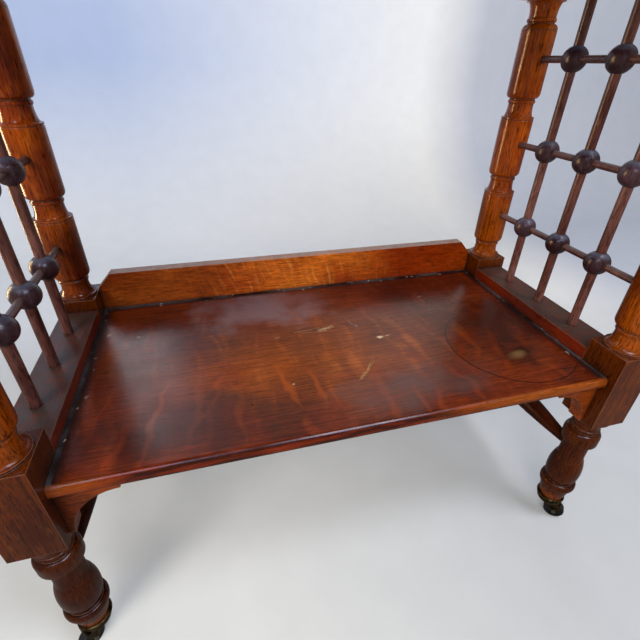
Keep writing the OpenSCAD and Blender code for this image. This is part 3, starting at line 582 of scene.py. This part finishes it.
# Corner posts
# Oak posts turned in one length from caster to top, with square blocks left at the rails.
# The legs under the shelf are darker, with painted shade.
def turning_group(crease):
    """Node group that welds a mesh and smooths it, except at edges sharper than the crease."""
    group = bpy.data.node_groups.new("smooth_turning", "GeometryNodeTree")
    group.interface.new_socket("Geometry", in_out="INPUT", socket_type="NodeSocketGeometry")
    group.interface.new_socket("Geometry", in_out="OUTPUT", socket_type="NodeSocketGeometry")
    start = group.nodes.new("NodeGroupInput")
    bare = group.nodes.new("GeometryNodeRemoveAttribute")
    bare.inputs["Name"].default_value = "custom_normal"
    weld = group.nodes.new("GeometryNodeMergeByDistance")
    weld_distance = 0.00001
    weld.inputs["Distance"].default_value = weld_distance
    smooth = group.nodes.new("GeometryNodeSetShadeSmooth")
    sharp = group.nodes.new("GeometryNodeSetShadeSmooth")
    sharp.domain = "EDGE"
    sharp.inputs["Shade Smooth"].default_value = False
    bend = group.nodes.new("GeometryNodeInputMeshEdgeAngle")
    over = group.nodes.new("FunctionNodeCompare")
    over.inputs[1].default_value = math.radians(crease)
    end = group.nodes.new("NodeGroupOutput")
    steps = (start, bare, weld, smooth, sharp, end)
    for one, other in zip(steps, steps[1:]):
        group.links.new(one.outputs[0], other.inputs[0])
    group.links.new(bend.outputs["Unsigned Angle"], over.inputs[0])
    group.links.new(over.outputs["Result"], sharp.inputs["Selection"])
    return group


crease_angle = 35
turned_smooth = turning_group(crease_angle)


def smooth_turning(name):
    """Shades a turned piece as one round surface, with creases only where it turns sharply."""
    nodes[name].modifiers.new("smooth_turning", "NODES").node_group = turned_smooth


corners = ("front_left", "front_right", "rear_left", "rear_right")
post_oak, tree, place, colour, lines = oak(
    "shellacked_turned_oak", (0.0017, 0.0017, 0.05), (0.008, 0.008, 0.03), (0, 0, 0),
    "#72280a", "#b8540a", "#cc7420", 0.25)
leg_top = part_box("bracket_front_left")[0].z
block_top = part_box("lower_rail_left")[1].z + 0.014
height = add(tree, "SeparateXYZ", {"Vector": place}).outputs["Z"]
foot_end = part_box("caster_cup_front_left")[1].z
# Painted shade steps up from the leg to the block, and again to the barrels, and painted light makes them
# lighter to the top.
# Painted light makes the tapered ends in the caster cups a lighter red.
for start, full, share in (
        (leg_top - 0.01, leg_top + 0.01, 0.7), (block_top, block_top + 0.012, 0.4),
        (block_top + 0.08, block_top + 0.17, 0.5), (foot_end + 0.01, foot_end + 0.02, 2.6)):
    shade = add(tree, "MapRange", {
        "Value": height, "From Min": start, "From Max": full, "To Min": share, "To Max": 1})
    colour = add(tree, "VectorMath", {0: colour, 1: shade.outputs["Result"]},
                 operation="MULTIPLY").outputs["Vector"]
colour = grime_and_shade(tree, colour, 0.014, 0.9)
shellac(tree, place, colour, lines, 0.16, 0, 0.1, 1.38)
for corner in corners:
    dress("post_" + corner, post_oak)
    smooth_turning("post_" + corner)

# Lattice
# Thin turned sticks and drilled balls, glued up in each end; the finish is dull and dusty.
# The balls are darker than the sticks, and greyer and bluer on top with dust and a painted highlight.
rows = ("row_1", "row_2", "row_3")
lattice = {}
for name, dark, light, fleck, dust_and_highlight_tint in (
        ("dull_turned_oak_sticks", "#48241f", "#6c433b", "#865b50", "#6a6264"),
        # The blue-grey on the balls' tops is dust and a painted highlight.
        ("dull_turned_oak_balls", "#281418", "#442e34", "#5a464c", "#5c667c")):
    lattice[name], tree, place, colour, lines = oak(
        name, (0.002, 0.002, 0.03), (0.008, 0.008, 0.02), (0, 0, 0), dark, light, fleck, 0.5)
    colour = dusty(tree, place, colour, dust_and_highlight_tint, 0.75)[0]
    colour = grime_and_shade(tree, colour, 0.008, 0.85)
    shellac(tree, place, colour, lines, 0.3, 0, 0.15)
for side in sides:
    for stick in ("front", "middle", "rear"):
        dress("upright_" + side + "_" + stick, lattice["dull_turned_oak_sticks"])
    for row in rows:
        dress("balls_" + side + "_" + row, lattice["dull_turned_oak_balls"])
        dress("cross_sticks_" + side + "_" + row, lattice["dull_turned_oak_sticks"])

# Stretchers and brackets
# Turned end stretchers between the legs, and sawn corner brackets nailed under the shelf.
# Their old finish is dull, and the stretchers are painted dark, as shade under the shelf.
# Painted shade: the stretchers' colours are dark for the shade under the shelf.
shaded_stretcher_oak, tree, place, colour, lines = oak(
    "dark_shaded_turned_oak", (0.003, 0.04, 0.003), (0.008, 0.03, 0.008), (0, 0, 0),
    "#1c0803", "#3a1406", "#4c200a", 0.4)
colour = grime_and_shade(tree, colour, 0.01, 0.8)
shellac(tree, place, colour, lines, 0.35, 0, 0.1, 1.2)
for side in sides:
    dress("stretcher_" + side, shaded_stretcher_oak)
    smooth_turning("stretcher_" + side)
bracket_oak, tree, place, colour, lines = oak(
    "sawn_oak_brackets", (0.03, 0.003, 0.003), (0.008, 0.03, 0.008), (0, 0, 0),
    "#4c1c08", "#8a3c0e", "#a05018", 0.4)
colour = grime_and_shade(tree, colour, 0.01, 0.8)
shellac(tree, place, colour, lines, 0.3, 0, 0.1, 1.3)
for corner in corners:
    dress("bracket_" + corner, bracket_oak)


# Casters
# Cast brass cups and forks, gone dark in the hollows, with wheels of dense dark hardwood.
# Each fork swivels on a steel pivot driven into the foot, and each wheel rolls on a riveted axle.
def old_brass():
    """Cast brass with brown tarnish in blotches of about 8 mm, rubbed bright here and there."""
    material, tree = empty_material("tarnished_cast_brass")
    place = add(tree, "TexCoord", {}).outputs["Object"]
    blotch_size = 0.008
    blotch = add(tree, "TexNoise", {"Vector": place, "Scale": 1 / blotch_size, "Detail": 5})
    tarnish = add(tree, "MapRange", {"Value": blotch.outputs["Fac"], "From Min": 0.4, "From Max": 0.65})
    tone = add(tree, "MixRGB", {
        "Fac": tarnish.outputs["Result"], "Color1": paint("#1e180e"), "Color2": paint("#66502a")})
    colour = grime_and_shade(tree, tone.outputs["Color"], 0.004, 0.8)
    rough = add(tree, "MapRange", {"Value": blotch.outputs["Fac"], "To Min": 0.5, "To Max": 0.2})
    shader = add(tree, "BsdfPrincipled", {
        "Base Color": colour, "Metallic": 1.0, "Roughness": rough.outputs["Result"]})
    add(tree, "OutputMaterial", {"Surface": shader.outputs["BSDF"]})
    return material


def dark_hardwood():
    """Turned wheels of dense hardwood, near black and dull, scuffed grey in marks of about 3 mm."""
    material, tree = empty_material("dense_dark_hardwood")
    place = add(tree, "TexCoord", {}).outputs["Object"]
    scuff_size = 0.003
    scuff = add(tree, "TexNoise", {"Vector": place, "Scale": 1 / scuff_size, "Detail": 5})
    worn = add(tree, "MapRange", {"Value": scuff.outputs["Fac"], "From Min": 0.55, "From Max": 0.75})
    tone = add(tree, "MixRGB", {
        "Fac": worn.outputs["Result"], "Color1": paint("#0c0c0f"), "Color2": paint("#28272b")})
    shader = add(tree, "BsdfPrincipled", {"Base Color": tone.outputs["Color"], "Roughness": 0.45})
    add(tree, "OutputMaterial", {"Surface": shader.outputs["BSDF"]})
    return material


def dull_steel():
    """Drawn steel, dull grey, with brown rust in specks of about 2 mm."""
    material, tree = empty_material("dull_steel")
    place = add(tree, "TexCoord", {}).outputs["Object"]
    speck_size = 0.002
    speck = add(tree, "TexNoise", {"Vector": place, "Scale": 1 / speck_size, "Detail": 4})
    rust = add(tree, "MapRange", {"Value": speck.outputs["Fac"], "From Min": 0.5, "From Max": 0.7})
    tone = add(tree, "MixRGB", {
        "Fac": rust.outputs["Result"], "Color1": paint("#86827c"), "Color2": paint("#5a4638")})
    shader = add(tree, "BsdfPrincipled", {
        "Base Color": tone.outputs["Color"], "Metallic": 1.0, "Roughness": 0.45})
    add(tree, "OutputMaterial", {"Surface": shader.outputs["BSDF"]})
    return material


brass = old_brass()
hardwood = dark_hardwood()
steel = dull_steel()
for corner in corners:
    dress("caster_cup_" + corner, brass)
    dress("caster_fork_" + corner, brass)
    dress("caster_wheel_" + corner, hardwood)
    dress("caster_axle_" + corner, steel)
    dress("caster_pivot_" + corner, steel)
dress("cup_screws", brass)

# Screws and nails
# Plain steel wood screws under the back rail and the top, and wire nails in the brackets.
# The screws are driven from below. Each bracket has one nail into the shelf and one into the post.
for fasteners in ("back_rail_screws", "top_screws", "bracket_nails"):
    dress(fasteners, steel)
